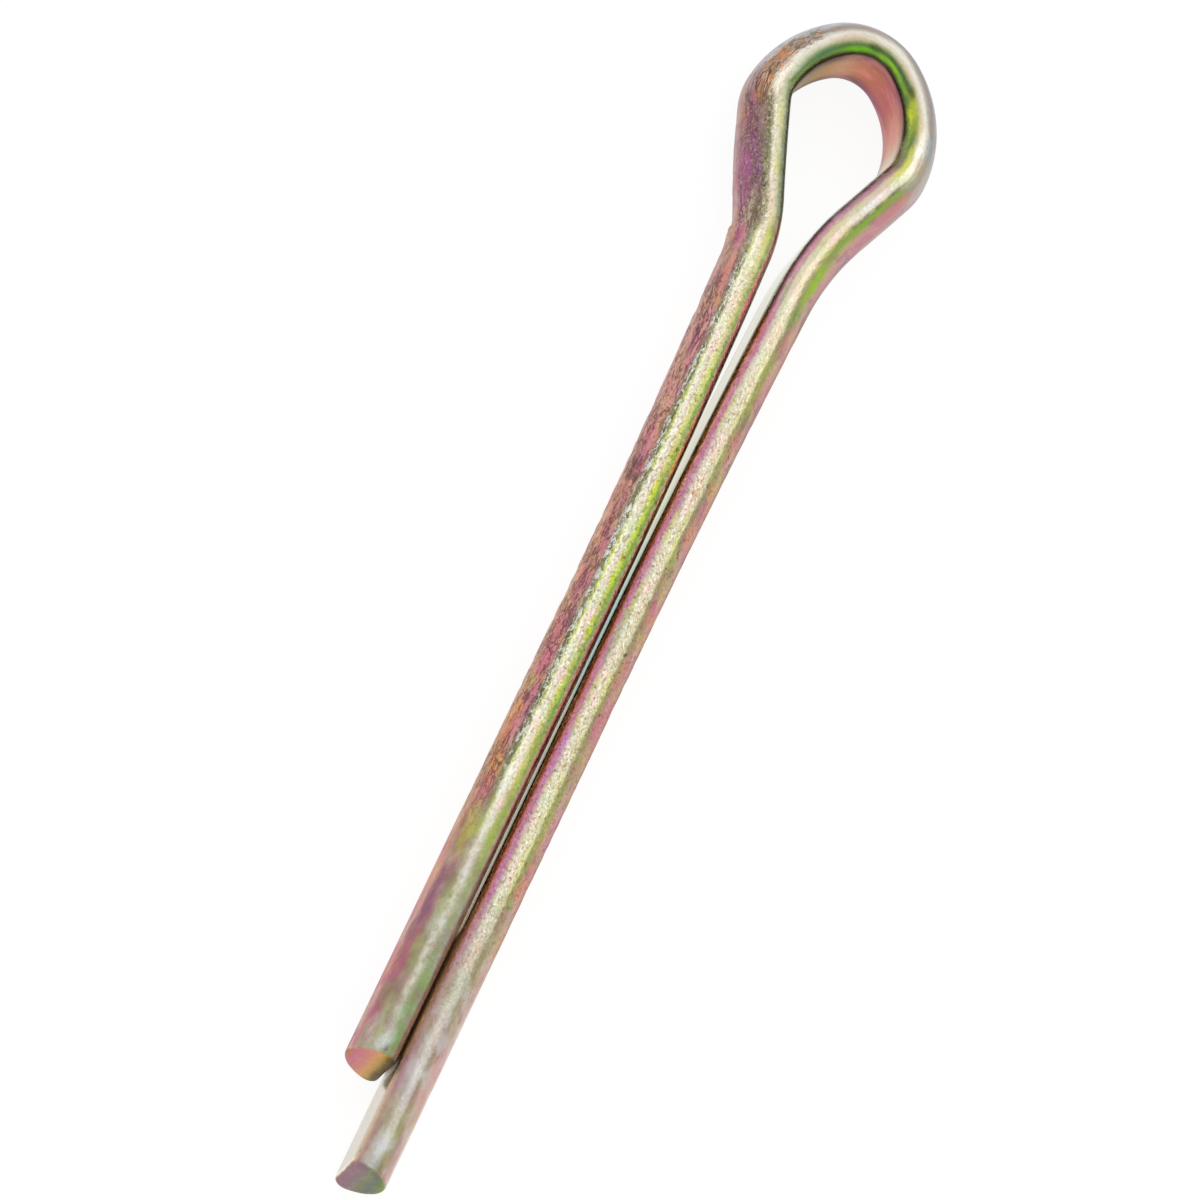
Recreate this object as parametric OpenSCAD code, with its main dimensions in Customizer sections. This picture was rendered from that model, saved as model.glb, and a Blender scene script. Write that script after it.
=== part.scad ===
// Cotter pin: half-round wire folded flat to flat into an eye and two prongs of unequal length.
// +X runs down the shank to the tips, +Y points to the long prong and +Z is up.
// The pin lies flat, and the origin is on the shank's axis at the seat under the eye.

/* [Wire] */
// Radius of the wire's round side
wire_radius = 1.86; // [1.7:0.01:2.0]
// Thickness of the wire from its flat to the top of its round side
wire_thickness = 1.77; // [1.65:0.01:1.84]
// Radius of the wire's two edges, between its flat and its round side
edge_radius = 0.48; // [0.4:0.01:0.55]

/* [Prongs] */
// Length of the short prong from the seat to its tip
short_length = 38.5; // [24:0.5:60]
// How far the long prong reaches past the short one
long_overhang = 4.3; // [1:0.1:10]
// Gap between the two flats at the short prong's tip
tip_gap = 0.12; // [0.04:0.02:0.6]
// Radius of the blunted edge round each sheared tip
tip_rounding = 0.24; // [0.1:0.01:0.3]

/* [Neck] */
// Radius of the slight curve that opens the prongs toward the neck, at the flat
opening_radius = 510; // [350:10:650]
// Angle of the wire from the axis where the neck's own bend begins, in degrees
opening_angle = 1.9; // [1.4:0.1:2.4]
// Angle of the long wire from the axis at the neck, in degrees
long_neck_angle = 22.3; // [20:0.1:24]
// Angle of the short wire from the axis at the neck, in degrees
short_neck_angle = 21.4; // [19.5:0.1:24]
// Radius of the bend between the long prong and its leg, at the flat
long_neck_radius = 13; // [8:0.5:14]
// Radius of the bend between the short prong and its leg, at the flat
short_neck_radius = 8.3; // [5:0.5:12]
// Radius to which each leg bows out between the neck and the eye, at the flat
leg_radius = 100; // [60:5:200]

/* [Eye] */
// Distance from the seat to the centre of the eye's crown bend
crown_reach = 7.06; // [6.4:0.1:9]
// How far the crown bend's centre lies off the axis toward the short wire
crown_offset = 0.1; // [0:0.02:0.3]
// Radius of the bend at the eye's crown, at the flat
crown_radius = 1.52; // [1.2:0.04:1.8]
// Radius of the eye's two flanks, at the flat
flank_radius = 3.68; // [3:0.05:4.2]
// Radius of the tight bend from each flank into its leg, at the flat
shoulder_radius = 1.1; // [0.6:0.05:1.4]
// Angle that the crown bend turns through on the long wire's side, in degrees
long_crown_turn = 34.5; // [28:0.5:42]
// Angle that the crown bend turns through on the short wire's side, in degrees
short_crown_turn = 38.3; // [32:0.5:46]
// Angle that the long wire's flank turns through, in degrees
long_flank_turn = 57.1; // [48:0.5:62]
// Angle that the short wire's flank turns through, in degrees
short_flank_turn = 45.4; // [38:0.5:54]

/* [Hidden] */

$fn = 96;

// The section lies with its flat on the line x = 0 and its round side toward +x.
round_centre = wire_thickness - wire_radius;
edge_centre = [edge_radius,
    sqrt(pow(wire_radius - edge_radius, 2) - pow(edge_radius - round_centre, 2))];
// Where the round side passes into the edge, as an angle about either one's centre
edge_join_angle = atan2(edge_centre[1], edge_radius - round_centre);
// Longer than anything in the section, for what cuts it
section_reach = 3 * wire_radius;
// How far the blunting of a tip overshoots both surfaces, so that it leaves a faint crease
blunt_overshoot = tip_rounding / 50;

// Neighbouring stretches of the wire share whole end faces, but a place or an angle is carried
// out to six digits only. So a place is reached in a coarse step and a fine one.
function six_digits(value) =
    value == 0 ? 0 : let (unit = pow(10, floor(log(abs(value))) - 5)) round(value / unit) * unit;

module placed(point) {
    coarse = [for (value = point) six_digits(value)];
    translate(coarse) translate(point - coarse) children();
}

// The path of a wire's flat, worked out as if its outer side were +y.
// A heading is the wire's angle from the axis as it runs toward the eye.
function outward(heading) = [sin(heading), cos(heading)];

// A wire is [length from the seat, neck angle, neck radius, crown turn, flank turn, crown's y].
long_wire = [short_length + long_overhang, long_neck_angle, long_neck_radius,
             long_crown_turn, long_flank_turn, -crown_offset];
short_wire = [short_length, short_neck_angle, short_neck_radius,
              short_crown_turn, short_flank_turn, crown_offset];

// Headings where one bend passes into the next, and the bends' centres, from the crown to the tip
function crown_heading(wire) = wire[3] - 90;
function flank_heading(wire) = crown_heading(wire) + wire[4];
function crown_centre(wire) = [-crown_reach, wire[5]];
function flank_centre(wire) =
    crown_centre(wire) - (flank_radius - crown_radius) * outward(crown_heading(wire));
function shoulder_centre(wire) =
    flank_centre(wire) + (flank_radius - shoulder_radius) * outward(flank_heading(wire));
// How far outward of the leg's centre the prong's flat lies
function prong_rise(wire) = (leg_radius + wire[2]) * cos(wire[1])
    + (opening_radius - wire[2]) * cos(opening_angle) - opening_radius;
// The leg is as long as brings the prong below it down to its side of the gap.
function leg_heading(wire) = six_digits(acos(
    (shoulder_centre(wire)[1] + prong_rise(wire) - tip_gap / 2) / (leg_radius - shoulder_radius)));
function leg_centre(wire) =
    shoulder_centre(wire) - (leg_radius - shoulder_radius) * outward(leg_heading(wire));
function neck_centre(wire) = leg_centre(wire) + (leg_radius + wire[2]) * outward(wire[1]);
function opening_centre(wire) =
    neck_centre(wire) + (opening_radius - wire[2]) * outward(opening_angle);
function prong_top(wire) = opening_centre(wire) - [0, opening_radius];

function direction(angle) = [cos(angle), sin(angle)];

// One edge of the section, as the slice of a circle
module edge_slice() {
    placed(edge_centre) intersection() {
        circle(edge_radius);
        polygon([[0, 0], for (share = [0, 0.5, 1])
            section_reach * direction(edge_join_angle + share * (180 - edge_join_angle))]);
    }
}

// All that lies on the inner side of an edge's slice and in front of the flat
module inside_edge() {
    placed(edge_centre) polygon([[-edge_radius, 0], [0, 0],
        section_reach * direction(edge_join_angle), [section_reach, -section_reach],
        [-edge_radius, -section_reach]]);
}

// The half-round section: its core between the flat and the round side, and its two edges
module wire_section() {
    intersection() {
        translate([round_centre, 0]) circle(wire_radius);
        inside_edge();
        mirror([0, 1]) inside_edge();
    }
    edge_slice();
    mirror([0, 1]) edge_slice();
}

// A bend with the flat on its inside, between two headings
module inward_bend(centre, radius, from, to) {
    placed(centre) rotate_extrude(angle = from - to, start = 90 - from)
        translate([radius, 0]) wire_section();
}

// A bend with the flat on its outside, between two headings
module outward_bend(centre, radius, from, to) {
    placed(centre) rotate_extrude(angle = from - to, start = 270 - from)
        translate([radius, 0]) mirror([1, 0]) wire_section();
}

// What the blunting takes off a right-angled edge at the origin, of a body below and left of it
module blunting_outline() {
    depth = tip_rounding - blunt_overshoot;
    translate([-depth, -depth]) difference() {
        square(section_reach);
        circle(tip_rounding);
    }
}

module blunting() {
    translate([round_centre, 0, 0]) rotate_extrude()
        translate([wire_radius, 0]) blunting_outline();
    rotate([90, 0, 0]) linear_extrude(2 * section_reach, center = true)
        mirror([1, 0]) blunting_outline();
}

module prong(wire) {
    run = wire[0] - prong_top(wire)[0];
    placed(prong_top(wire)) rotate([90, 0, 90]) difference() {
        linear_extrude(run) wire_section();
        translate([0, 0, run]) blunting();
    }
}

// One wire from its tip to the crown's bend
module half(wire) {
    prong(wire);
    outward_bend(opening_centre(wire), opening_radius, opening_angle, 0);
    outward_bend(neck_centre(wire), wire[2], wire[1], opening_angle);
    inward_bend(leg_centre(wire), leg_radius, wire[1], leg_heading(wire));
    inward_bend(shoulder_centre(wire), shoulder_radius, leg_heading(wire), flank_heading(wire));
    inward_bend(flank_centre(wire), flank_radius, flank_heading(wire), crown_heading(wire));
}

module cotter_pin() {
    color("darkkhaki") {
        half(long_wire);
        mirror([0, 1, 0]) half(short_wire);
        inward_bend(crown_centre(long_wire), crown_radius,
                    crown_heading(long_wire), -90 - short_crown_turn);
    }
}

cotter_pin();
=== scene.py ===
import math

import bpy
import numpy as np
from mathutils import Matrix, Vector, noise


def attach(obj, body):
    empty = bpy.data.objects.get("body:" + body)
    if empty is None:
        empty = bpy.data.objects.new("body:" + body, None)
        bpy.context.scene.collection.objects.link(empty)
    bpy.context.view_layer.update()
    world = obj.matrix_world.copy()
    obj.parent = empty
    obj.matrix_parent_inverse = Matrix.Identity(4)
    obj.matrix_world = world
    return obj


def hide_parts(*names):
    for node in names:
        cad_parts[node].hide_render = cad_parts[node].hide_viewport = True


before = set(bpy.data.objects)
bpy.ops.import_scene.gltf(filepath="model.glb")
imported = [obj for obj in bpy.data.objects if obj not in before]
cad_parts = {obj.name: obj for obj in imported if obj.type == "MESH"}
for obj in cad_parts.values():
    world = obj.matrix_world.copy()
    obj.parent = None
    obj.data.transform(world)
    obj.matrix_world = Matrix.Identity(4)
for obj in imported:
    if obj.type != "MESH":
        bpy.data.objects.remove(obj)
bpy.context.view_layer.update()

# ---------------------------------------------------------------------------------------------
# The wire. One length of half-round steel wire, folded flat to flat over a mandrel: a crown, two
# flanks and two tight shoulders make the eye, and each leg bends at its neck into a prong. It is
# zinc plated and yellow passivated after the folding and the shearing of its tips.

MM = 0.001

# The half-round section, its round side outward, with blunt edges between the round and the flat
ROUND_RADIUS, THICKNESS, EDGE_RADIUS = 1.86, 1.77, 0.48
ROUND_CENTRE = THICKNESS - ROUND_RADIUS
EDGE_HEIGHT = math.sqrt((ROUND_RADIUS - EDGE_RADIUS) ** 2 - (EDGE_RADIUS - ROUND_CENTRE) ** 2)
JOIN_ANGLE = math.atan2(EDGE_HEIGHT, EDGE_RADIUS - ROUND_CENTRE)
ROUND_RUN = ROUND_RADIUS * JOIN_ANGLE
EDGE_RUN = ROUND_RUN + EDGE_RADIUS * (math.pi - JOIN_ANGLE)
FLAT_RUN = EDGE_RUN + EDGE_HEIGHT
SECTION_MIDDLE = np.array([0.78, 0.0])

# The folded path of the flat, from the tips back to the crown
TIP_ROUNDING, TIP_GAP = 0.24, 0.12
CROWN_REACH, CROWN_OFFSET = 7.06, 0.1
CROWN_RADIUS, FLANK_RADIUS, SHOULDER_RADIUS = 1.52, 3.68, 1.1
LEG_RADIUS, OPENING_RADIUS, OPENING_ANGLE = 100.0, 510.0, math.radians(1.9)
TOWARD_TIPS = np.array([1, 0])

# The mesh: one ring of points to each station of the path, a hair under the solid's surface
STATION_SPACING, ROUND_POINTS, FLAT_POINTS, SKIN_DEPTH = 0.104, 85, 13, 0.003

# How deep the forming and the rolling have marked the round side
STEP_DEPTH, CREASE_DEPTH, FACET_DEPTH, FLATTENED_DEPTH, PIT_DEPTH = 0.09, 0.03, 0.035, 0.025, 0.045


def outward(heading):
    """The way that the round side faces, where the wire heads this far off the shank's line."""
    return np.array([math.sin(heading), math.cos(heading)])


def follow_half(length, neck_angle, neck_radius, crown_turn, flank_turn, crown_y):
    """Stations of one half's flat from its tip to the crown, as (run, place, facing), and its run."""
    neck = math.radians(neck_angle)
    crown = math.radians(crown_turn - 90)
    flank = crown + math.radians(flank_turn)
    crown_centre = np.array([-CROWN_REACH, crown_y])
    flank_centre = crown_centre - (FLANK_RADIUS - CROWN_RADIUS) * outward(crown)
    shoulder_centre = flank_centre + (FLANK_RADIUS - SHOULDER_RADIUS) * outward(flank)
    rise = (LEG_RADIUS + neck_radius) * math.cos(neck) - OPENING_RADIUS
    rise += (OPENING_RADIUS - neck_radius) * math.cos(OPENING_ANGLE)
    leg = math.acos((shoulder_centre[1] + rise - TIP_GAP / 2) / (LEG_RADIUS - SHOULDER_RADIUS))
    leg_centre = shoulder_centre - (LEG_RADIUS - SHOULDER_RADIUS) * outward(leg)
    neck_centre = leg_centre + (LEG_RADIUS + neck_radius) * outward(neck)
    opening_centre = neck_centre + (OPENING_RADIUS - neck_radius) * outward(OPENING_ANGLE)
    stations = []
    straight = length - opening_centre[0]
    count = round(straight / STATION_SPACING)
    for i in range(count):
        run = straight * i / count
        stations.append((run, np.array([length - run, TIP_GAP / 2]), outward(0)))
    start = straight
    for centre, radius, begin, end in (
        (opening_centre, -OPENING_RADIUS, 0, OPENING_ANGLE),
        (neck_centre, -neck_radius, OPENING_ANGLE, neck),
        (leg_centre, LEG_RADIUS, neck, leg),
        (shoulder_centre, SHOULDER_RADIUS, leg, flank),
        (flank_centre, FLANK_RADIUS, flank, crown),
        (crown_centre, CROWN_RADIUS, crown, -math.pi / 2),
    ):
        bend = abs(radius * (end - begin))
        count = max(4, round(bend / STATION_SPACING))
        for i in range(count):
            facing = outward(begin + (end - begin) * i / count)
            stations.append((start + bend * i / count, centre + radius * facing, facing))
        start += bend
    return stations, start


def section_point(round_way, inset=0.0):
    """Place on the half-round section, by the way round it from its outermost point."""
    way = abs(round_way)
    if way <= ROUND_RUN:
        turn = way / ROUND_RADIUS
        place = (ROUND_CENTRE + (ROUND_RADIUS - inset) * math.cos(turn),
                 (ROUND_RADIUS - inset) * math.sin(turn))
    elif way <= EDGE_RUN:
        turn = JOIN_ANGLE + (way - ROUND_RUN) / EDGE_RADIUS
        place = (EDGE_RADIUS + (EDGE_RADIUS - inset) * math.cos(turn),
                 EDGE_HEIGHT + (EDGE_RADIUS - inset) * math.sin(turn))
    else:
        place = (inset, FLAT_RUN - way)
    return place[0], math.copysign(place[1], round_way)


# More points round the curved side than across the flat
round_ways = np.concatenate([np.linspace(-EDGE_RUN, EDGE_RUN, ROUND_POINTS),
                             EDGE_RUN + EDGE_HEIGHT * np.linspace(0, 2, FLAT_POINTS)[1:-1]])
round_ways = np.where(round_ways > FLAT_RUN, round_ways - 2 * FLAT_RUN, round_ways)
section = np.array([section_point(way) for way in round_ways])

short_stations, short_run = follow_half(
    length=38.5, neck_angle=21.4, neck_radius=8.3, crown_turn=38.3, flank_turn=45.4,
    crown_y=CROWN_OFFSET)
long_stations, long_run = follow_half(
    length=42.8, neck_angle=22.3, neck_radius=13.0, crown_turn=34.5, flank_turn=57.1,
    crown_y=-CROWN_OFFSET)
whole_run = short_run + long_run

# Both halves one after the other: from the short tip round the crown to the long tip
crown_top = (long_run, np.array([-CROWN_REACH - CROWN_RADIUS, -CROWN_OFFSET]), np.array([-1.0, 0.0]))
stations = [(run, place * [1, -1], facing * [1, -1]) for run, place, facing in short_stations]
stations += [(whole_run - run, place, facing) for run, place, facing in [crown_top] + long_stations[::-1]]


def soft_step(low, high, value):
    """0 below low and 1 above high, with a soft change between."""
    share = np.clip((value - low) / (high - low), 0, 1)
    return share * share * (3 - 2 * share)


def pressed_in(run):
    """How far the surface lies under the section's own, at each point of the ring there, in mm."""
    far = whole_run - run
    way = np.abs(round_ways)
    outer = 1 - soft_step(0.7, 1.5, way)

    # The press's step and crease past the short neck, and a place flattened on either leg
    step = STEP_DEPTH * soft_step(38.62, 38.86, run) * (1 - soft_step(39.4, 42.5, run)) * outer
    crease = CREASE_DEPTH * np.exp(-((run - 38.4 - 0.22 * np.sin(3.1 * way)) / 0.09) ** 2) * outer
    facet = FACET_DEPTH * np.exp(-((way - 1.35) / 0.42) ** 2)
    facet *= soft_step(38.9, 40.2, run) * (1 - soft_step(42.8, 44.6, run))
    flattened = FLATTENED_DEPTH * np.exp(-((way - 1.3) / 0.4) ** 2)
    flattened *= soft_step(42.5, 44, far) * (1 - soft_step(46, 47.6, far))

    # Shallow pits along the outer side of the prongs, deeper on the short one
    rolled = soft_step(8, 14, run) * (1 - soft_step(43, 46, run))
    rolled += 0.45 * soft_step(8, 14, far) * (1 - soft_step(38, 42, far))
    pits = np.array([noise.noise((run * 1.9, out * 2.6, up * 2.6)) +
                     0.6 * noise.noise((run * 0.7, out, up)) for out, up in section])
    pits = (np.clip(pits, -0.15, 1) + 0.15) * rolled * (1 - soft_step(1.3, 1.9, way))
    return SKIN_DEPTH + step + crease + facet + flattened + PIT_DEPTH * pits


def tip_rings(run, place, facing):
    """A sheared face's rings from its middle outward, then those of the blunted edge round it."""
    inner = np.array([section_point(way, TIP_ROUNDING) for way in round_ways])
    for share in (0.12, 0.35, 0.6, 0.82, 1.0):
        yield run, place, facing, SECTION_MIDDLE + share * (inner - SECTION_MIDDLE), 0 * round_ways, 1.0
    for turn in np.radians((20, 40, 60, 80)):
        inset = TIP_ROUNDING * (1 - math.sin(turn))
        back = TIP_ROUNDING * (1 - math.cos(turn))
        shape = np.array([section_point(way, inset) for way in round_ways])
        face_share = 1 - turn / (math.pi / 2)
        yield run, place - TOWARD_TIPS * back, facing, shape, 0 * round_ways, face_share


rings = list(tip_rings(*stations[0]))
rings += [(run, place, facing, section, pressed_in(run), 0.0) for run, place, facing in stations
          if TIP_ROUNDING < run < whole_run - TIP_ROUNDING]
rings += list(tip_rings(*stations[-1]))[::-1]

# Each point keeps where it lies along, across and round the wire, and whether it is on a tip's face
points, ways, flat_places, face_shares = [], [], [], []
for run, place, facing, shape, depth, face_share in rings:
    for (out, up), way, low in zip(shape, round_ways, depth):
        spot = place + (out - low) * facing
        points.append((spot[0] * MM, spot[1] * MM, up * MM))
        ways.append(abs(way))
        flat_places.append((run, out, up))
        face_shares.append(face_share)

around = len(round_ways)
faces = []
for ring in range(len(rings) - 1):
    for k in range(around):
        here, beside = ring * around + k, ring * around + (k + 1) % around
        faces.append((here, beside, beside + around, here + around))
for ring, station, flip in ((0, stations[0], 1), (len(rings) - 1, stations[-1], -1)):
    run, place, facing = station
    middle = place + SECTION_MIDDLE[0] * facing
    for k in range(around):
        edge = (ring * around + (k + 1) % around, ring * around + k)
        faces.append(edge[::flip] + (len(points),))
    points.append((middle[0] * MM, middle[1] * MM, 0))
    ways.append(0.9)
    flat_places.append((run, SECTION_MIDDLE[0], 0))
    face_shares.append(1.0)

wire_mesh = bpy.data.meshes.new("cotter_pin_wire")
wire_mesh.from_pydata(points, [], faces)
wire_mesh.polygons.foreach_set("use_smooth", [True] * len(wire_mesh.polygons))
lay = wire_mesh.attributes.new("lay", "FLOAT_VECTOR", "POINT")
lay.data.foreach_set("vector", np.array(flat_places, np.float32).ravel())


def tone(red, green, blue):
    """A colour as it is seen, 0 to 255, turned by the sRGB curve into the form a shader takes."""
    seen = [value / 255 for value in (red, green, blue)]
    return tuple(share / 12.92 if share <= 0.04045 else ((share + 0.055) / 1.055) ** 2.4
                 for share in seen) + (1.0,)


# Single stains in the film of each half of the wire, and among them painted highlights, the near-white
# and cream ones from 1.86 to 2.32 mm round: mm along it from that half's tip, mm round it from the
# outermost line, half the length, half the width, colour and strength
short_stains_and_highlights = (
    (0.3, 2.2, 0.32, 0.16, (66, 54, 34), 0.85), (0.5, 2.44, 0.5, 0.12, (90, 146, 66), 0.7),
    (0.3, 1.3, 0.4, 0.4, (176, 164, 156), 0.6),
    (1.6, 1.05, 0.7, 0.28, (168, 78, 112), 0.6), (4.7, 1.1, 0.8, 0.26, (180, 92, 124), 0.55),
    (6.8, 0.98, 1.2, 0.26, (126, 68, 116), 0.6), (9.9, 1.3, 1.1, 0.36, (176, 186, 66), 0.75),
    (2.6, 2.3, 2.2, 0.28, (122, 170, 76), 0.65), (9.8, 2.36, 1.7, 0.2, (164, 186, 74), 0.75),
    (0.7, 2.1, 0.4, 0.24, (220, 228, 236), 0.5), (7.9, 2.05, 0.9, 0.2, (226, 226, 220), 0.35),
    (12.6, 1.86, 0.9, 0.12, (236, 238, 232), 0.6), (13.0, 1.1, 0.9, 0.3, (208, 112, 102), 0.55),
    (14.4, 0.7, 1.7, 0.45, (228, 150, 80), 0.8), (16.9, 0.85, 0.25, 0.25, (196, 194, 60), 0.6),
    (15.4, 1.36, 0.4, 0.14, (140, 90, 148), 0.55), (18.8, 1.3, 0.3, 0.14, (236, 190, 96), 0.6),
    (21.5, 1.22, 2.6, 0.22, (194, 92, 140), 0.4), (26.8, 0.85, 0.5, 0.25, (106, 70, 58), 0.6),
    (26.5, 2.3, 4.0, 0.1, (222, 224, 92), 0.5), (25.4, 2.64, 3.2, 0.06, (172, 180, 104), 0.8),
    (33.2, 2.28, 5.2, 0.15, (240, 228, 176), 0.75),
    (28.0, 2.62, 1.4, 0.09, (222, 156, 60), 0.7), (35.0, 2.64, 1.6, 0.1, (214, 100, 112), 0.6),
    (30.6, 1.25, 1.6, 0.22, (200, 100, 150), 0.4), (34.8, 1.3, 0.4, 0.2, (226, 160, 78), 0.65),
    (35.9, 1.2, 1.0, 0.18, (222, 140, 106), 0.65), (33.0, 1.0, 1.3, 0.1, (96, 50, 96), 0.6),
    (38.0, 1.04, 0.9, 0.24, (190, 92, 146), 0.65), (39.4, 1.1, 0.8, 0.6, (186, 178, 148), 0.85),
    (37.6, 1.62, 1.8, 0.16, (132, 118, 94), 0.5), (42.0, 1.0, 2.1, 0.72, (140, 100, 122), 0.9),
    (41.2, 1.25, 1.0, 0.34, (128, 86, 132), 0.75), (43.3, 1.0, 0.7, 0.42, (122, 68, 106), 0.75),
    (42.4, 1.88, 2.1, 0.1, (90, 116, 76), 0.65), (44.2, 1.4, 0.4, 0.5, (150, 128, 90), 0.6),
    (45.1, 1.4, 1.1, 0.4, (200, 132, 82), 0.9), (45.0, 2.32, 1.1, 0.13, (236, 238, 214), 0.6),
    (46.6, 1.5, 1.4, 0.2, (160, 134, 116), 0.6),
    (46.4, 2.5, 1.0, 0.14, (84, 128, 92), 0.6), (47.7, 2.64, 0.9, 0.13, (112, 194, 32), 0.9),
    (48.5, 1.42, 2.4, 0.11, (164, 140, 130), 0.5),
    (22.9, 2.28, 0.22, 0.1, (156, 104, 48), 0.8), (24.2, 2.24, 0.1, 0.06, (70, 48, 26), 0.9),
    (32.5, 2.72, 0.12, 0.09, (36, 26, 26), 0.9), (25.6, 2.54, 0.16, 0.05, (62, 56, 34), 0.9),
)
long_stains_and_highlights = (
    (0.4, 1.9, 0.3, 0.34, (112, 108, 92), 0.6),
    (1.0, 2.05, 0.8, 0.24, (196, 206, 222), 0.5), (3.6, 2.06, 1.5, 0.22, (200, 208, 214), 0.4),
    (4.2, 2.6, 0.9, 0.14, (160, 96, 146), 0.5), (2.0, 1.6, 0.8, 0.16, (166, 168, 96), 0.6),
    (4.4, 1.2, 1.7, 0.34, (220, 160, 160), 0.6), (8.2, 1.0, 0.3, 0.4, (182, 132, 102), 0.5),
    (12.3, 1.36, 0.3, 0.16, (136, 186, 108), 0.6), (10.6, 1.4, 1.4, 0.16, (152, 162, 104), 0.5),
    (16.0, 1.0, 1.4, 0.35, (216, 146, 166), 0.4), (19.2, 0.9, 0.8, 0.4, (196, 190, 84), 0.5),
    (21.0, 1.36, 1.5, 0.14, (206, 100, 138), 0.5), (18.6, 2.42, 1.6, 0.12, (200, 122, 196), 0.5),
    (13.0, 2.44, 1.2, 0.1, (198, 122, 182), 0.45), (24.4, 2.42, 1.2, 0.12, (142, 200, 122), 0.55),
    (26.0, 2.3, 0.2, 0.05, (110, 64, 34), 0.9), (31.0, 2.05, 0.13, 0.13, (190, 134, 60), 0.85),
    (35.0, 1.3, 0.9, 0.12, (100, 84, 64), 0.55), (38.4, 2.3, 4.4, 0.11, (238, 232, 206), 0.65),
    (37.0, 1.86, 2.4, 0.08, (236, 218, 194), 0.6), (34.2, 2.66, 4.2, 0.07, (216, 166, 150), 0.7),
    (40.6, 2.5, 0.9, 0.1, (112, 186, 84), 0.6), (43.2, 2.2, 0.15, 0.14, (212, 176, 112), 0.7),
    (39.8, 1.6, 0.6, 0.14, (92, 148, 66), 0.6), (41.5, 1.4, 1.1, 0.24, (150, 192, 44), 0.85),
    (45.6, 1.58, 2.2, 0.13, (134, 180, 52), 0.9), (45.4, 1.05, 1.8, 0.32, (204, 138, 152), 0.5),
    (45.8, 1.79, 2.6, 0.09, (98, 100, 84), 0.75), (46.2, 2.06, 1.2, 0.14, (222, 226, 240), 0.6),
    (48.5, 1.5, 0.4, 0.4, (190, 148, 112), 0.5), (48.2, 2.3, 0.9, 0.14, (232, 234, 90), 0.85),
    (50.1, 2.48, 0.9, 0.2, (206, 214, 52), 0.9), (50.1, 2.18, 0.9, 0.12, (210, 198, 116), 0.6),
    (48.2, 2.82, 1.0, 0.12, (214, 204, 160), 0.7), (45.6, 2.8, 1.6, 0.12, (208, 202, 206), 0.75),
    (48.0, 2.58, 0.8, 0.12, (106, 112, 92), 0.75),
    (51.0, 2.4, 0.25, 0.14, (66, 78, 40), 0.8), (52.0, 2.62, 0.9, 0.09, (150, 208, 36), 0.85),
    (51.8, 2.44, 1.0, 0.07, (56, 78, 50), 0.8),
    (53.0, 2.44, 0.24, 0.15, (50, 54, 34), 0.8),
)
stain_and_highlight_tones = np.zeros((len(points), 3))
stain_and_highlight_shares = np.zeros(len(points))
runs, ways = np.array(flat_places)[:, 0], np.array(ways)
ragged = 0.7 * np.array([noise.noise((run * 1.6, out * 2.4, up * 2.4)) for run, out, up in flat_places])
for from_tip, stains_and_highlights in ((runs, short_stains_and_highlights), (whole_run - runs, long_stains_and_highlights)):
    for along, round_it, half_length, half_width, seen, strength in stains_and_highlights:
        reach = np.hypot((from_tip - along) / half_length, (ways - round_it) / half_width)
        share = strength * (1 - soft_step(0.2, 1.6, reach + ragged))
        kept = stain_and_highlight_shares * (1 - share)
        stain_and_highlight_tones = stain_and_highlight_tones * kept[:, None] + np.array(tone(*seen)[:3]) * share[:, None]
        stain_and_highlight_shares = kept + share
        stain_and_highlight_tones /= np.maximum(stain_and_highlight_shares, 1e-6)[:, None]
wire_mesh.attributes.new("stain_tone", "FLOAT_VECTOR", "POINT").data.foreach_set(
    "vector", stain_and_highlight_tones.astype(np.float32).ravel())
for name, values in (("way_round", ways), ("tip_face", face_shares), ("stain_share", stain_and_highlight_shares)):
    wire_mesh.attributes.new(name, "FLOAT", "POINT").data.foreach_set(
        "value", np.array(values, np.float32))
wire_mesh.update()
wire = bpy.data.objects.new("folded_wire", wire_mesh)
bpy.context.scene.collection.objects.link(wire)


class Shade:
    """A socket that can be worked with as a number."""

    def __init__(self, tree, socket=None):
        self.tree, self.socket = tree, socket

    def node(self, kind, settings=None, sockets=None, out=0):
        """Adds a node with its settings, then its sockets' values or links."""
        made = self.tree.nodes.new("ShaderNode" + kind)
        for name, value in (settings or {}).items():
            if name == "stops":
                ramp = made.color_ramp
                while len(ramp.elements) < len(value):
                    ramp.elements.new(1.0)
                for element, (place, colour) in zip(ramp.elements, value):
                    element.position, element.color = place, colour
            else:
                setattr(made, name, value)
        for name, value in (sockets or {}).items():
            if isinstance(value, Shade):
                self.tree.links.new(value.socket, made.inputs[name])
            else:
                made.inputs[name].default_value = value
        return Shade(self.tree, made.outputs[out] if len(made.outputs) else None)

    def math(self, operation, first, second=0.0):
        return self.node("Math", {"operation": operation}, {0: first, 1: second})

    def __add__(self, other):
        return self.math("ADD", self, other)

    def __sub__(self, other):
        return self.math("SUBTRACT", self, other)

    def __rsub__(self, other):
        return self.math("SUBTRACT", other, self)

    def __mul__(self, other):
        return self.math("MULTIPLY", self, other)

    __radd__, __rmul__ = __add__, __mul__

    def rises(self, low, high):
        """0 below low and 1 above high, with a soft change between."""
        return self.node("MapRange", {"interpolation_type": "SMOOTHSTEP"},
                         {"Value": self, "From Min": low, "From Max": high})

    def within(self, low, high, soft):
        """1 between low and high and 0 outside them, with a soft change at either."""
        return self.rises(low - soft, low + soft) * (1 - self.rises(high - soft, high + soft))

    def over(self, colour, share):
        """Lays a colour over this one, by a share of 0 to 1."""
        return self.node("Mix", {"data_type": "RGBA"},
                         {"Factor": share, 6: self, 7: colour}, 2)


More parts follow.
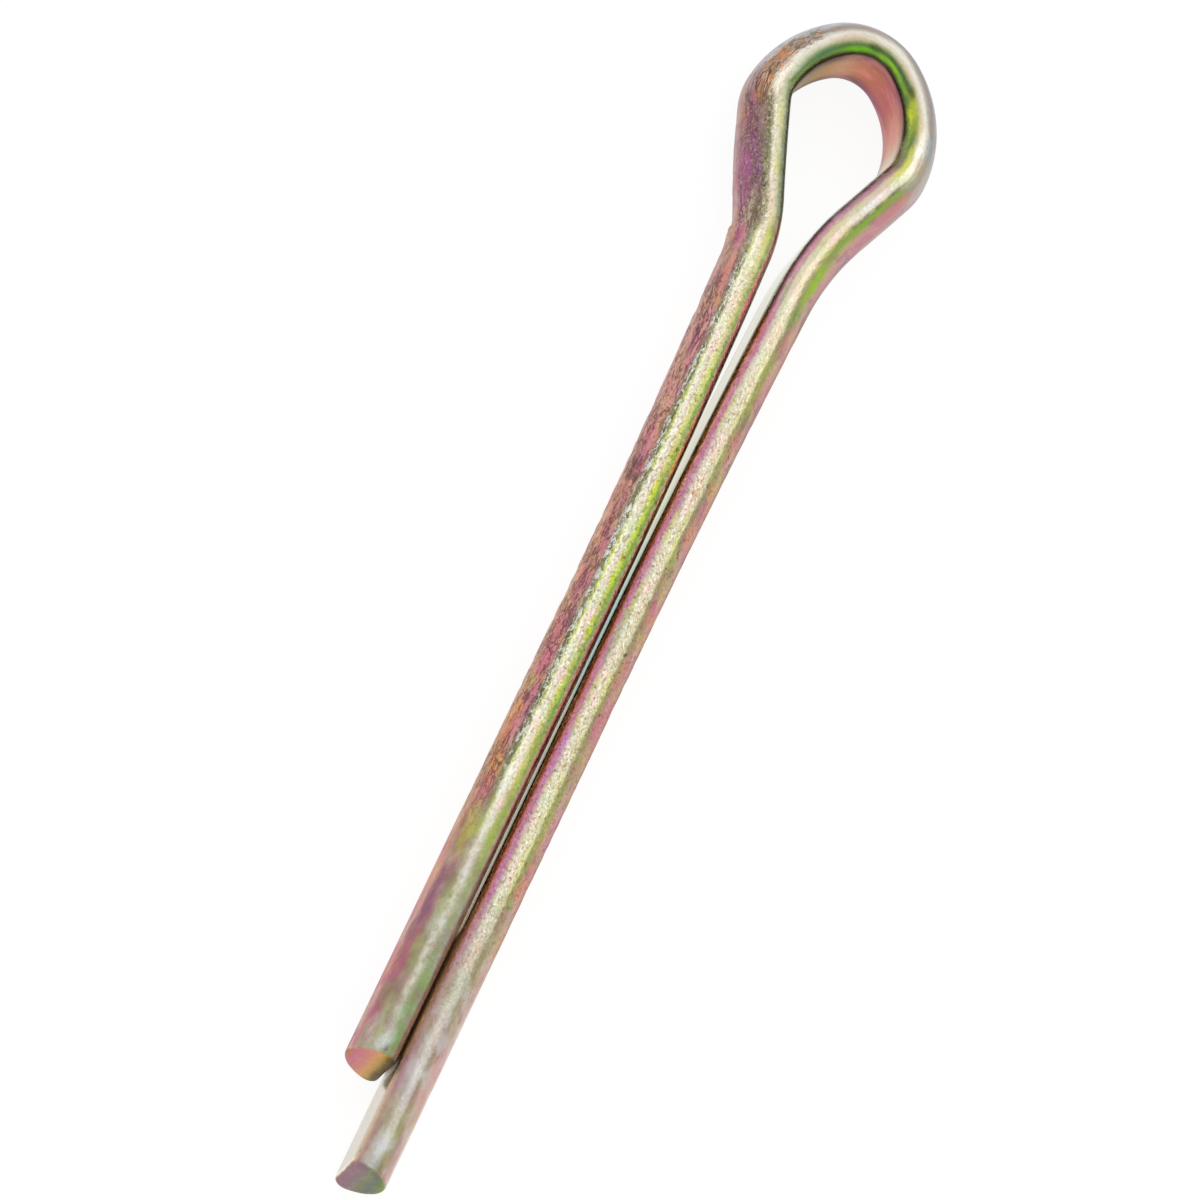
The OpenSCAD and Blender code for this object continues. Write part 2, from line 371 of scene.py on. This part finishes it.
# The film's places and shares, read from the wire's mesh
plating = bpy.data.materials.new("yellow_passivated_zinc")
plating.use_nodes = True
plating.node_tree.nodes.clear()
base = Shade(plating.node_tree)
laid = base.node("Attribute", {"attribute_name": "lay"}, out=1)
way = base.node("Attribute", {"attribute_name": "way_round"}, out=2)
on_face = base.node("Attribute", {"attribute_name": "tip_face"}, out=2)
stain_tone = base.node("Attribute", {"attribute_name": "stain_tone"}, out=1)
stain_share = base.node("Attribute", {"attribute_name": "stain_share"}, out=2)
run = base.node("SeparateXYZ", {}, {0: laid})
off_flat = base.node("SeparateXYZ", {}, {0: laid}, 1)
height = base.node("SeparateXYZ", {}, {0: laid}, 2)
far = whole_run - run


def grain(across, drawn_out, detail, shift):
    """Three separate noises on the wire, so many waves to the mm across and drawn out along it."""
    place = base.node("VectorMath", {"operation": "MULTIPLY_ADD"},
                      {0: laid, 1: (across / drawn_out, across, across), 2: (shift, 1.7 * shift, shift)})
    clouds = base.node("TexNoise", {}, {
        "Vector": place, "Scale": 1.0, "Detail": detail, "Roughness": 0.6}, out=1)
    return [base.node("SeparateColor", {}, {0: clouds}, out) for out in range(3)]


# The bands waver along the wire, and fray where they face outward
waves, seams, wander = grain(across=0.9, drawn_out=3.0, detail=2, shift=3.0)
patch, ochre, tint = grain(across=1.0, drawn_out=2.2, detail=4, shift=47.0)
fine, mist, fleck = grain(across=4.2, drawn_out=1.6, detail=4, shift=11.0)
speck, dot = grain(across=8.5, drawn_out=1.2, detail=2, shift=23.0)[:2]
loose = 1 - way.rises(1.2, 1.9) * 0.65
fray = (waves - 0.5) * 0.5 + (patch - 0.5) * 0.3 + (fine - 0.5) * 0.5
band_place = way + fray * loose + (speck - 0.5) * 0.14 + (wander - 0.5) * 0.1
BANDS_END = 3.2


def bands(*stops):
    """The colours that the film takes from the outermost line, at 0 mm, round to the flat, with a painted
    highlight as a pale band near 1.9 to 2.3 mm and painted shade as a dark band just short of the flat.
    """
    ramp = [(place / BANDS_END, tone(*colour)) for place, colour in stops]
    return base.node("ValToRGB", {"stops": ramp}, {0: band_place * (1 / BANDS_END)})


# Each set holds the painted highlight and the painted shade by the flat. Most lift their last stops, at
# the flat's edge, as painted light against the shade of the gap.
short_prong = bands((0.0, (208, 172, 154)), (0.5, (204, 156, 138)), (0.78, (190, 130, 116)),
                    (1.0, (172, 114, 108)), (1.18, (206, 146, 148)), (1.38, (178, 144, 134)),
                    (1.55, (140, 136, 106)), (1.7, (150, 150, 108)), (1.79, (190, 194, 122)),
                    (1.88, (236, 232, 214)), (2.0, (216, 208, 188)), (2.14, (210, 200, 166)),
                    (2.24, (206, 204, 108)), (2.36, (166, 184, 82)), (2.46, (136, 160, 90)),
                    (2.56, (156, 134, 108)), (2.62, (182, 112, 114)), (2.7, (124, 62, 54)),
                    (2.78, (120, 74, 50)), (2.86, (244, 226, 190)), (2.96, (255, 255, 248)))
long_prong = bands((0.0, (168, 122, 96)), (0.5, (198, 156, 138)), (0.8, (204, 152, 138)),
                   (1.05, (210, 172, 152)), (1.25, (188, 166, 128)), (1.5, (146, 136, 98)),
                   (1.64, (160, 152, 112)), (1.76, (208, 202, 168)), (1.95, (200, 194, 158)),
                   (2.12, (216, 208, 184)), (2.25, (230, 218, 200)), (2.36, (210, 172, 180)),
                   (2.46, (188, 124, 152)), (2.58, (174, 106, 126)), (2.67, (176, 98, 74)),
                   (2.75, (110, 60, 28)), (2.86, (168, 108, 56)), (2.96, (216, 204, 190)))
tips = bands((0.0, (206, 164, 150)), (0.4, (220, 184, 170)), (0.8, (186, 138, 134)),
             (1.0, (172, 126, 122)), (1.25, (174, 140, 126)), (1.5, (164, 150, 126)),
             (1.7, (162, 154, 126)), (1.9, (166, 162, 136)), (2.1, (166, 164, 138)),
             (2.3, (160, 162, 126)), (2.5, (146, 140, 118)), (2.65, (138, 118, 112)),
             (2.76, (186, 152, 134)), (2.86, (222, 190, 154)), (2.96, (250, 226, 192)))
long_tip = bands((0.0, (212, 178, 162)), (0.4, (240, 226, 218)), (0.8, (222, 196, 184)),
                 (1.0, (218, 190, 178)), (1.2, (208, 184, 168)), (1.35, (194, 174, 150)),
                 (1.5, (172, 152, 124)), (1.7, (158, 142, 118)), (1.85, (184, 180, 164)),
                 (2.05, (200, 194, 182)), (2.2, (200, 194, 180)), (2.35, (194, 178, 166)),
                 (2.5, (174, 148, 138)), (2.65, (164, 130, 124)), (2.76, (186, 152, 134)),
                 (2.86, (222, 190, 154)), (2.96, (250, 226, 192)))
short_leg = bands((0.0, (206, 170, 166)), (0.6, (176, 134, 134)), (0.85, (166, 130, 126)),
                  (1.3, (160, 134, 120)), (1.6, (156, 138, 118)), (1.8, (140, 134, 106)),
                  (2.02, (156, 152, 122)), (2.12, (226, 216, 192)), (2.25, (246, 238, 214)),
                  (2.38, (218, 212, 172)), (2.5, (148, 158, 122)), (2.68, (116, 132, 108)),
                  (2.8, (92, 102, 92)), (2.92, (170, 174, 164)))
long_leg = bands((0.0, (196, 178, 174)), (0.5, (184, 146, 146)), (0.85, (200, 154, 152)),
                 (1.12, (198, 164, 144)), (1.28, (176, 174, 118)), (1.5, (150, 160, 94)),
                 (1.68, (144, 148, 94)), (1.8, (156, 146, 116)), (1.92, (212, 200, 168)),
                 (2.15, (226, 216, 184)), (2.34, (226, 218, 186)), (2.46, (196, 152, 160)),
                 (2.6, (176, 122, 142)), (2.72, (124, 90, 92)), (2.82, (116, 100, 98)),
                 (2.94, (255, 254, 250)))
crown = bands((0.0, (168, 162, 168)), (0.5, (196, 196, 204)), (0.9, (204, 208, 218)),
              (1.25, (160, 166, 170)), (1.4, (164, 172, 174)), (1.55, (182, 188, 184)),
              (1.7, (218, 218, 202)), (1.95, (246, 242, 230)), (2.12, (234, 228, 208)),
              (2.24, (198, 200, 162)), (2.36, (138, 158, 102)), (2.5, (92, 118, 70)),
              (2.66, (104, 132, 74)), (2.76, (92, 102, 64)), (2.9, (84, 76, 60)))

# Where each set of bands lies along the wire, with ragged borders between them
seam = seams * 3 - 1.5
on_long = run.rises(whole_run / 2 - 1, whole_run / 2 + 1)
tip_share = 1 - (run + seam).rises(6, 14) * (far + seam).rises(6, 14)
crown_share = (run + seam * 0.3).within(44.4, 53.4, 0.7)
colour = short_prong.over(long_prong, on_long)
colour = colour.over(tips.over(long_tip, on_long), tip_share)
colour = colour.over(short_leg, (run + seam * 0.5).within(38.8, 44.6, 0.6) * (1 - on_long))
colour = colour.over(long_leg, (far + seam * 0.5).within(39.4, 48.2, 0.8) * on_long)
colour = colour.over(crown, crown_share)

# Cloudy tints over the outer side of the round, and along the painted highlight beside it
outer = (1 - (way + fray * 0.6).rises(1.3, 1.7)) * (1 - crown_share * 0.7 - tip_share * on_long * 0.6)
# pale: the band of the painted highlight along the prongs and legs
pale = way.within(1.82, 2.34, 0.1)
reddened = run.within(19, 39, 2)
colour = colour.over(tone(196, 96, 136), patch.rises(0.48, 0.6) * outer * (0.5 + reddened * 0.2))
colour = colour.over(tone(142, 126, 88), (1 - patch.rises(0.34, 0.43)) * outer * (0.55 - reddened * 0.2))
colour = colour.over(tone(218, 164, 98), ochre.rises(0.55, 0.64) * outer * (0.55 - reddened * 0.25))
colour = colour.over(tone(126, 86, 128), (1 - ochre.rises(0.34, 0.43)) * outer * 0.4)
edge_of_pale = (way.within(1.74, 1.9, 0.06) + way.within(2.2, 2.42, 0.06)) * (1 - tip_share)
colour = colour.over(tone(222, 226, 110), tint.rises(0.48, 0.6) * edge_of_pale * (1 - crown_share) * 0.5)
leafy = way.within(1.35, 1.68, 0.08) * far.within(12, 42, 3)
colour = colour.over(tone(156, 176, 80), tint.rises(0.46, 0.58) * leafy * 0.55)
colour = colour.over(tone(228, 190, 164), (1 - tint.rises(0.38, 0.5)) * pale * 0.4)
purple_line = (way + fray * 0.25 + (speck - 0.5) * 0.2).within(0.9, 0.97, 0.05)
purple_line = purple_line * run.within(21, 38, 1.2)
colour = colour.over(tone(92, 40, 66), purple_line * mist.rises(0.38, 0.55) * 0.75)
lime = (way + (fine - 0.5) * 0.2).within(2.22, 2.38, 0.05) * run.within(17, 33, 3)
colour = colour.over(tone(204, 230, 40), tint.rises(0.36, 0.56) * lime * 0.85)
green = (way + (fine - 0.5) * 0.2).within(2.38, 2.52, 0.05) * run.within(14, 34, 3)
colour = colour.over(tone(112, 176, 56), ochre.rises(0.38, 0.6) * green * 0.65)

# Larger clouds: grey, brown and olive at the tips, lemon, rose and orange along the prongs. The
# near-white clouds at the tips, here and below, are painted highlight spots.
cloudy = (seams * 0.5 + ochre * 0.5).rises(0.47, 0.6) * tip_share * way.within(0.9, 2.5, 0.3)
colour = colour.over(tone(208, 210, 206), cloudy * mist.rises(0.3, 0.6) * 0.6)
dusky = (1 - ochre.rises(0.36, 0.5)) * tip_share * way.within(1.2, 2.6, 0.2)
colour = colour.over(tone(128, 108, 96), dusky * 0.35)
blot, cloud, smear = grain(across=1.1, drawn_out=1.7, detail=1.5, shift=71.0)
on_tip = tip_share * way.within(0.8, 2.5, 0.3)
colour = colour.over(tone(210, 214, 212), blot.rises(0.48, 0.66) * on_tip * (0.38 + on_long * 0.22))
colour = colour.over(tone(122, 104, 86), (1 - blot.rises(0.34, 0.5)) * on_tip * (0.45 - on_long * 0.15))
colour = colour.over(tone(164, 170, 106), cloud.rises(0.46, 0.62) * on_tip * (0.55 - on_long * 0.25))
colour = colour.over(tone(172, 110, 142), (1 - cloud.rises(0.34, 0.5)) * on_tip * (0.4 - on_long * 0.25))
on_prongs = outer * (way.rises(0.2, 0.9) * 0.6 + 0.4) * (1 - tip_share)
on_prongs = on_prongs * (run.within(9, 37, 2) + far.within(9, 38, 2))
colour = colour.over(tone(196, 188, 92), blot.rises(0.54, 0.62) * on_prongs * 0.5)
colour = colour.over(tone(214, 112, 144), (1 - blot.rises(0.38, 0.48)) * on_prongs * 0.4)
colour = colour.over(tone(228, 158, 96), cloud.rises(0.55, 0.64) * on_prongs * (0.2 + on_long * 0.2))
colour = colour.over(tone(144, 96, 140), (1 - smear.rises(0.35, 0.45)) * on_prongs * 0.3)
# A painted highlight: a broken pale streak along each prong near its tip
tip_line = (way + (mist - 0.5) * 0.3).within(1.88, 2.14, 0.16) * (
    run.within(2, 14, 3) + far.within(1, 7, 2))
colour = colour.over(tone(232, 226, 214), tip_line * mist.rises(0.3, 0.6) * 0.5)
beside = way.within(1.9, 2.3, 0.1) * (1 - tip_share) * (1 - crown_share)
colour = colour.over(tone(240, 196, 196), smear.rises(0.54, 0.62) * beside * 0.45)
colour = colour.over(tone(196, 216, 170), (1 - cloud.rises(0.38, 0.46)) * beside * 0.45)

# The crown's outer side: grey on the long half, almost white on the short one, a painted reflection of
# the white surroundings, and clouded
streaked = crown_share * way.within(0.5, 1.75, 0.15)
colour = colour.over(tone(134, 134, 138), far.within(48.6, 53, 0.6) * way.within(0.9, 1.4, 0.1) * 0.4)
colour = colour.over(tone(228, 232, 240), run.within(46.2, 48.6, 0.5) * way.within(0.7, 1.4, 0.1) * 0.4)
colour = colour.over(tone(150, 122, 112), patch.rises(0.48, 0.58) * streaked * 0.5)
colour = colour.over(tone(160, 162, 130), ochre.rises(0.5, 0.6) * streaked * 0.4)

# Lemon and moss green just outside the short prong's painted highlight, then rose, amber and brown washes
# over the outer sides of both prongs
lemon = (way + (fine - 0.5) * 0.12).within(1.76, 1.84, 0.04) * run.within(16, 31, 2)
colour = colour.over(tone(206, 222, 54), tint.rises(0.38, 0.54) * lemon * 0.6)
mossy = ochre.rises(0.46, 0.58) * way.within(1.45, 1.74, 0.08) * run.within(12, 39, 2)
colour = colour.over(tone(100, 112, 64), mossy * 0.55)
colour = colour.over(tone(178, 136, 134), way.rises(2.62, 2.72) * run.within(33.5, 38, 0.8) * 0.85)
colour = colour.over(tone(222, 178, 168), outer * run.within(29, 38, 1.5) * 0.3)
colour = colour.over(tone(244, 150, 150), outer * run.within(16, 34, 2) * 0.2)
outermost = 1 - (way + fray * 0.4).rises(0.45, 0.95)
amber = outermost * run.within(8, 27, 3) * (0.2 + ochre.rises(0.45, 0.55) * 0.25)
colour = colour.over(tone(250, 196, 116), amber)
colour = colour.over(tone(150, 104, 84), outermost * far.within(10, 40, 3) * 0.3)

# The single stains and painted highlights, broken up by the grain of the film
colour = colour.over(stain_tone, stain_share * (mist.rises(0.34, 0.6) * 0.5 + 0.5))

# The short leg and its shoulder, bruised and speckled where the press held them
bruised = run.within(38.6, 44.4, 0.4) * way.within(0.4, 2.0, 0.1)
worn = run.within(39.6, 46.8, 0.6) * way.within(0.5, 1.95, 0.12)
shoulder = run.within(44.3, 46.9, 0.4) * way.within(0.9, 1.8, 0.12)
magenta = cloud.rises(0.5, 0.6) * bruised * way.within(0.5, 1.2, 0.1)
colour = colour.over(tone(112, 98, 70), fine.rises(0.5, 0.62) * bruised * 0.55)
colour = colour.over(tone(168, 128, 120), (1 - fleck.rises(0.36, 0.48)) * bruised * 0.5)
colour = colour.over(tone(88, 60, 70), (1 - dot.rises(0.36, 0.47)) * worn * 0.55)
colour = colour.over(tone(206, 166, 160), speck.rises(0.53, 0.66) * worn * 0.4)
colour = colour.over(tone(176, 84, 150), magenta * 0.4)
colour = colour.over(tone(112, 112, 84), (1 - fine.rises(0.4, 0.5)) * shoulder * 0.7)
colour = colour.over(tone(232, 146, 72), fleck.rises(0.5, 0.62) * shoulder * 0.6)

# The flat side. It runs through olive, gold, rose and orange inside the eye, and is pale along the
# prongs, a painted reflection of the white surroundings, but for a dark end at the short tip and a brown
# stretch near the long one, painted shadow in the narrow gap there. The long tip's overhang is pale
# again, a painted reflection.
flat_tones = base.node("ValToRGB", {"stops": [
    (0.0, tone(110, 78, 46)), (0.07, tone(170, 142, 108)), (0.14, tone(224, 236, 232)),
    (0.415, tone(238, 240, 228)), (0.428, tone(148, 136, 88)), (0.452, tone(158, 134, 80)),
    (0.464, tone(196, 148, 96)), (0.477, tone(186, 112, 80)), (0.496, tone(178, 84, 84)),
    (0.512, tone(204, 116, 68)), (0.528, tone(206, 200, 132)), (0.56, tone(242, 244, 218)),
    (0.7, tone(238, 238, 196)), (0.75, tone(210, 250, 252)), (0.775, tone(214, 246, 248)),
    (0.795, tone(240, 222, 200)), (0.84, tone(238, 226, 208)), (0.87, tone(244, 252, 240)),
    (0.893, tone(222, 214, 184)), (0.906, tone(176, 124, 70)), (0.949, tone(176, 124, 70)),
    (0.956, tone(248, 252, 242)), (1.0, tone(248, 252, 242))]},
    {0: (run + seam * 0.3) * (1 / whole_run)})
drawn = grain(across=4.5, drawn_out=30, detail=2, shift=53.0)[0]
# The first two lift the flat's edge near the long tip out of the gap's shade, as painted light. The
# fourth darkens the wall inside the eye by the crown's short side, as painted shade.
for colour_there, share in (
    ((250, 196, 118), (1 - way.rises(3.05, 3.5)) * far.within(4.6, 11, 0.6) * 0.9),
    ((250, 250, 224), (1 - way.rises(3.05, 3.4)) * far.within(11, 17, 0.6) * 0.75),
    ((164, 168, 156), drawn.rises(0.5, 0.6) * far.within(16, 42, 2) * 0.45),
    ((64, 56, 56), (1 - (way + fray * 0.4).rises(2.9, 3.9)) * run.within(43.8, 49, 0.6) * 0.8),
    ((122, 70, 96), (1 - way.rises(3.0, 3.8)) * run.within(48, 54, 2) * 0.6),
    ((60, 36, 34), (1 - way.rises(3.02, 3.3)) * far.within(33, 41, 1) * 0.75),
    ((142, 78, 112), (1 - height.rises(-1.5, -0.4)) * run.within(48.6, 53, 0.8) * 0.6),
    ((224, 142, 134), patch.rises(0.45, 0.6) * run.within(47.5, 53, 0.8) * 0.4),
):
    flat_tones = flat_tones.over(tone(*colour_there), share)
face_share = (on_face + (mist - 0.5) * 0.6).rises(0.1, 0.5)
flat_share = (way + (fine - 0.5) * 0.06).rises(EDGE_RUN - 0.22, EDGE_RUN - 0.02) * (1 - face_share)
colour = colour.over(flat_tones, flat_share)
# Painted reflection: the long tip's overhanging edge by the flat is painted pale
long_end = way.rises(2.5, 2.9) * far.rises(0, 0.4) * (1 - far.rises(3.8, 5))
colour = colour.over(tone(206, 190, 168), long_end * 0.7)

# Grain of the zinc under the film: fine pebbles with dull seams between them, and white specks painted on
# them as glints, most on the painted highlight. It is coarsest along the middle of the prongs, and finer
# on the short leg and in the bends.
coarse = (run.within(13, 37, 5) + far.within(9, 38, 5) + run.within(38.5, 45.5, 0.8) * 0.3 + 0.3) * (
    1 - flat_share)
pebble = base.node("TexVoronoi", {"feature": "F1"}, {
    "Vector": base.node("VectorMath", {"operation": "MULTIPLY"}, {0: laid, 1: (7.5, 8.5, 8.5)}),
    "Scale": 1.0})
colour = colour.over(tone(128, 100, 66), pebble.rises(0.45, 0.95) * coarse * (0.35 + pale * 0.1))
colour = colour.over(tone(252, 252, 248), speck.rises(0.52, 0.7) * coarse * (0.1 + pale * 0.42))
colour = colour.over(tone(92, 56, 42), (1 - dot.rises(0.3, 0.4)) * coarse * (0.5 - pale * 0.15))
colour = colour.over(tone(48, 32, 28), (1 - fleck.rises(0.28, 0.37)) * coarse * (0.55 - pale * 0.15))

# Dark cracks with pale rims along the outer side of the short prong and where its leg was crushed,
# and pale wrinkles with dark borders in the film beside the prong's pale line
split, tear, shred = grain(across=1.7, drawn_out=3.2, detail=4, shift=83.0)
crushed = run.within(38.3, 40.3, 0.4) + run.within(43.7, 44.6, 0.3)
cracked = outer * run.within(11, 38, 3) * tint.rises(0.34, 0.48)
cracked = cracked + crushed * way.within(0.6, 1.9, 0.1) + shoulder * 0.8
from_split, from_tear = (split - 0.5) * (split - 0.5), (tear - 0.5) * (tear - 0.5)
crack = (1 - from_split.rises(0.00006, 0.0009) * from_tear.rises(0.00004, 0.0006)) * cracked
colour = colour.over(tone(78, 44, 52), crack * (0.65 - crushed * 0.2))
rim = from_split.within(0.0014, 0.0024, 0.0006) * cracked * shred.rises(0.4, 0.55)
colour = colour.over(tone(222, 206, 172), rim * (0.35 + (crushed + shoulder) * 0.35))
bent = base.node("VectorMath", {"operation": "MULTIPLY_ADD"}, {
    0: base.node("CombineXYZ", {}, {0: waves + fine, 1: patch + mist, 2: ochre + fleck}),
    1: (1.6, 0.7, 0.7), 2: laid})
strands = base.node("TexVoronoi", {"feature": "DISTANCE_TO_EDGE"}, {
    "Vector": base.node("VectorMath", {"operation": "MULTIPLY"}, {0: bent, 1: (0.55, 4.2, 4.2)}),
    "Scale": 1.0})
wrinkled = run.within(13, 37.4, 2) * (way + (waves - 0.5) * 0.3).within(1.48, 1.82, 0.08)
wrinkled = wrinkled * mist.rises(0.4, 0.5)
wrinkle = (1 - strands.rises(0.06, 0.17)) * wrinkled
colour = colour.over(tone(74, 70, 50), strands.within(0.18, 0.32, 0.06) * wrinkled * 0.65)
colour = colour.over(tone(224, 226, 214), wrinkle * 0.85)

# The sheared faces: rose turning to gold toward the flat on the short prong, then dark olive at the flat,
# painted shade, and grey and olive on the long one
short_face = base.node("ValToRGB", {"stops": [
    (0.0, tone(84, 70, 40)), (0.16, tone(124, 104, 50)), (0.28, tone(200, 160, 80)),
    (0.4, tone(222, 164, 108)), (0.56, tone(214, 142, 132)), (0.85, tone(206, 122, 138)),
    (0.97, tone(196, 130, 92)), (1.0, tone(150, 120, 76))]},
                        {0: (off_flat + (seams - 0.5) * 0.3) * (1 / THICKNESS)})
long_face = base.node("ValToRGB", {"stops": [
    (0.0, tone(162, 122, 92)), (0.1, tone(158, 116, 132)), (0.35, tone(146, 124, 126)),
    (0.5, tone(132, 138, 96)), (0.68, tone(118, 124, 116)), (0.85, tone(122, 142, 84)),
    (1.0, tone(164, 156, 84))]}, {0: (off_flat + (patch - 0.5) * 0.5) * (1 / THICKNESS)})
sheared = short_face.over(long_face, on_long).over(tone(232, 226, 214), mist.rises(0.5, 0.7) * 0.12)
colour = colour.over(sheared, face_share)

bump_height = fine * 0.8 + (speck * 0.4 - pebble * 0.35) * coarse + wrinkle * 0.6 - crack * 0.7
relief = base.node("Bump", {}, {"Strength": 0.6, "Distance": 0.00006,
                                "Height": bump_height * (1 - flat_share * 0.8)})

# The flat is the smoothest side, except on the short leg and near the long tip
dull = (fine * 0.24 + 0.2 + tip_share * 0.15) * (1 - flat_share * 0.6)
dull = dull + outermost * far.within(10, 43, 3) * 0.22
dull = dull + flat_share * 0.35 * (run.within(43, 47.6, 0.8) + far.within(4.8, 10.5, 0.4))
surface = base.node("BsdfPrincipled", {}, {
    "Base Color": colour, "Metallic": 1.0, "Specular Tint": (0.9, 0.885, 0.87, 1),
    "Roughness": dull, "Normal": relief})
base.node("OutputMaterial", {}, {"Surface": surface})
wire_mesh.materials.append(plating)
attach(wire, "root")
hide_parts("cotter_pin")

# ---------------------------------------------------------------------------------------------
# The floor. A sheet of plain white card under the pin, which lies flat on it. The camera and the
# polished metal see it mostly as an even white of its own, and the rest of it takes the shadow.

CARD_HALF, CARD_GLOW, CARD_GLOW_SHARE = 0.6, 1.16, 0.78
lowest = min(point[2] for point in points)
card_mesh = bpy.data.meshes.new("card")
card_mesh.from_pydata([(x * CARD_HALF, y * CARD_HALF, lowest)
                       for x, y in ((-1, -1), (1, -1), (1, 1), (-1, 1))], [], [(0, 1, 2, 3)])
card = bpy.data.objects.new("card", card_mesh)
bpy.context.scene.collection.objects.link(card)
card_white = bpy.data.materials.new("white_card")
card_white.use_nodes = True
card_white.node_tree.nodes.clear()
page = Shade(card_white.node_tree)
seen = page.node("LightPath", out=0)
mirrored = page.node("LightPath", out=3)
paper = page.node("BsdfDiffuse", {}, {"Color": (0.8, 0.8, 0.8, 1)})
clean = page.node("Emission", {}, {"Color": (1, 1, 1, 1), "Strength": CARD_GLOW})
page.node("OutputMaterial", {}, {"Surface": page.node(
    "MixShader", {}, {0: (seen + mirrored) * CARD_GLOW_SHARE, 1: paper, 2: clean})})
card_mesh.materials.append(card_white)

# ---------------------------------------------------------------------------------------------
# The light. A white tent all round, with a soft square lamp on either side that draws a pale line
# down each prong. The tent shows as plain white, the metal mirrors it a little darker, and it
# lights the card at a lower level still.

TENT_LIGHT, TENT_SEEN, TENT_MIRRORED = 0.62, 1.0, 0.9
LAMP_SIZE, LAMP_POWER, LAMP_DISTANCE = 0.24, 0.16, 0.5
tent = bpy.data.worlds.new("white_tent")
bpy.context.scene.world = tent
tent.use_nodes = True
tent.node_tree.nodes.clear()
sky = Shade(tent.node_tree)
rays = sky.node("LightPath", out=0)
gloss = sky.node("LightPath", out=3)
level = TENT_LIGHT + rays * (TENT_SEEN - TENT_LIGHT) + gloss * (TENT_MIRRORED - TENT_LIGHT)
sky.node("OutputWorld", {}, {"Surface": sky.node(
    "Background", {}, {"Color": (1, 1, 1, 1), "Strength": level})})

middle = Vector((0.017, 0, 0))
for name, direction in (("long_side_lamp", (-0.38, 0.80, 0.449)),
                        ("short_side_lamp", (-0.38, -0.67, 0.623))):
    lamp = bpy.data.lights.new(name, "AREA")
    lamp.shape, lamp.size, lamp.energy = "SQUARE", LAMP_SIZE, LAMP_POWER
    holder = bpy.data.objects.new(name, lamp)
    bpy.context.scene.collection.objects.link(holder)
    holder.location = middle + Vector(direction).normalized() * LAMP_DISTANCE
    holder.rotation_euler = (holder.location - middle).to_track_quat("Z", "Y").to_euler()

# ---------------------------------------------------------------------------------------------
# The camera. A long lens, looking down on the pin from over its tips. Its axes point right, up and
# back, and its place is in mm along them from the seat under the eye.

CAMERA_AXES = Matrix(((-0.3991, 0.8764, 0.2694), (-0.8343, -0.4690, 0.2898), (0.3803, -0.1091, 0.9184)))
CAMERA_PLACE = Vector((-7.2006, -13.9478, 399.864))
lens = bpy.data.cameras.new("camera")
lens.sensor_width, lens.lens = 36, 302.22
lens.clip_start, lens.clip_end = 0.01, 10
camera = bpy.data.objects.new("camera", lens)
bpy.context.scene.collection.objects.link(camera)
camera_turn = CAMERA_AXES.transposed()
camera.matrix_world = Matrix.Translation(camera_turn @ CAMERA_PLACE * MM) @ camera_turn.to_4x4()
bpy.context.scene.camera = camera

bpy.context.scene.view_settings.view_transform = "Standard"
